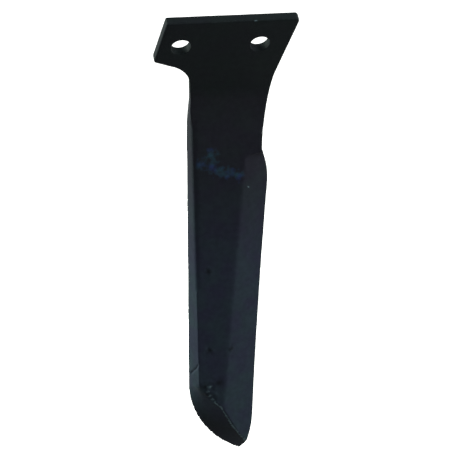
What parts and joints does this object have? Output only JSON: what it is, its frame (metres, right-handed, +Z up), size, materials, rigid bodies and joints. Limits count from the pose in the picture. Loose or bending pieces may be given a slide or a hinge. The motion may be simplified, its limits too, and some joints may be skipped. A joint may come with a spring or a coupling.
{
  "type": "power harrow tine",
  "caption": "Forged soil tine: bolt-on flange, forward bend and long bevelled blade with a curved, pointed end.",
  "frame": {"origin": "midway between the two bolt holes, on the seat face at the back of the flange", "axes": "+X along the line of the bolt holes towards the leading edge, +Y out of the seat face towards the rotor, +Z up the flange, away from the blade"},
  "size_m": [0.0883, 0.1358, 0.3219],
  "materials": {
    "paint": "satin"
  },
  "bodies": {
    "root": {"tine": "paint"}
  },
  "joints": []
}
